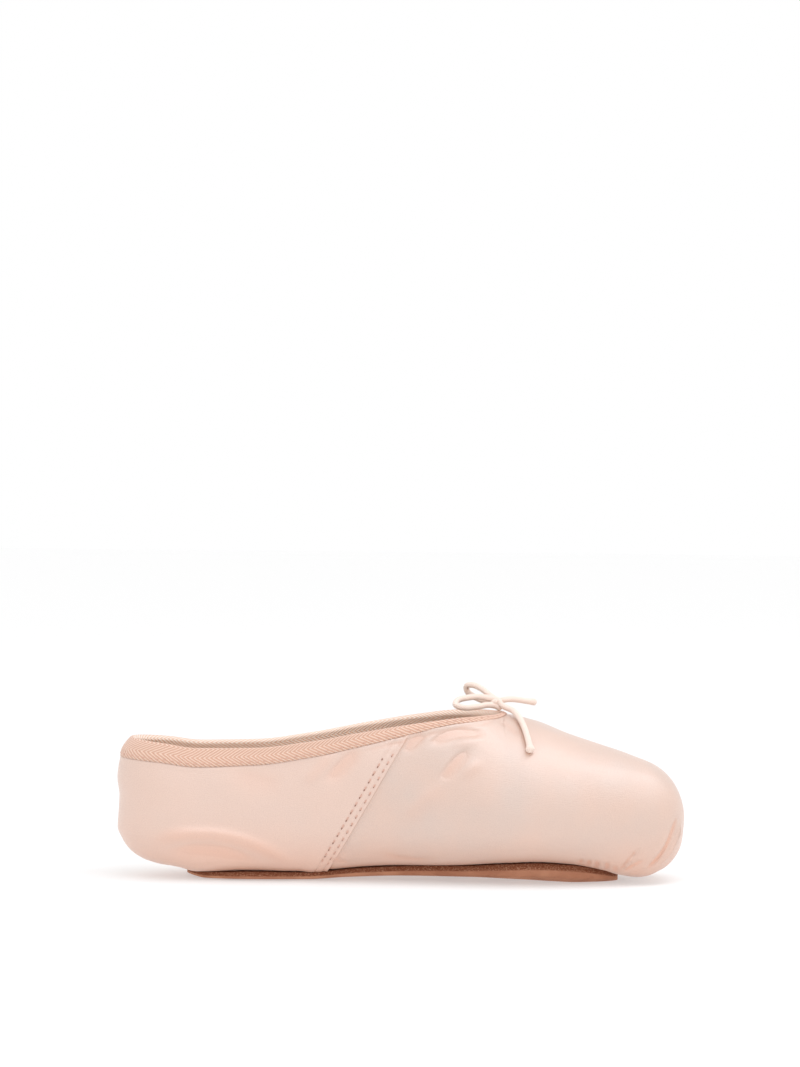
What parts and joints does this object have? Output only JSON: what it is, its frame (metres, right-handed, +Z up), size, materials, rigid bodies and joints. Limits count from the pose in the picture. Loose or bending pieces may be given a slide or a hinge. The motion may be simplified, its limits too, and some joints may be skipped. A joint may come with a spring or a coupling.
{
  "type": "pointe shoe",
  "caption": "Satin pointe shoe with a stiff box and flat platform, a leather outsole, a taped collar and a small drawstring bow at the throat.",
  "frame": {"origin": "on the floor under the middle of the shoe's length and width", "axes": "+X towards the toe platform, +Z up, +Y to the shoe's left when it points away from the viewer"},
  "size_m": [0.2348, 0.0744, 0.0811],
  "materials": {
    "satin": "soft pearly satin",
    "outsole_leather": "matt, with a rough cut edge",
    "insole_board": "matt cloth",
    "binding_tape": "matt herringbone twill",
    "drawstring_cord": "matt cotton"
  },
  "bodies": {
    "root": {"outsole": "outsole_leather", "upper": "satin", "insole": "insole_board", "binding": "binding_tape", "drawstring_knot": "drawstring_cord", "drawstring_loop_near": "drawstring_cord", "drawstring_loop_far": "drawstring_cord", "drawstring_tail_far": "drawstring_cord", "drawstring_tail_near": "drawstring_cord"}
  },
  "joints": []
}
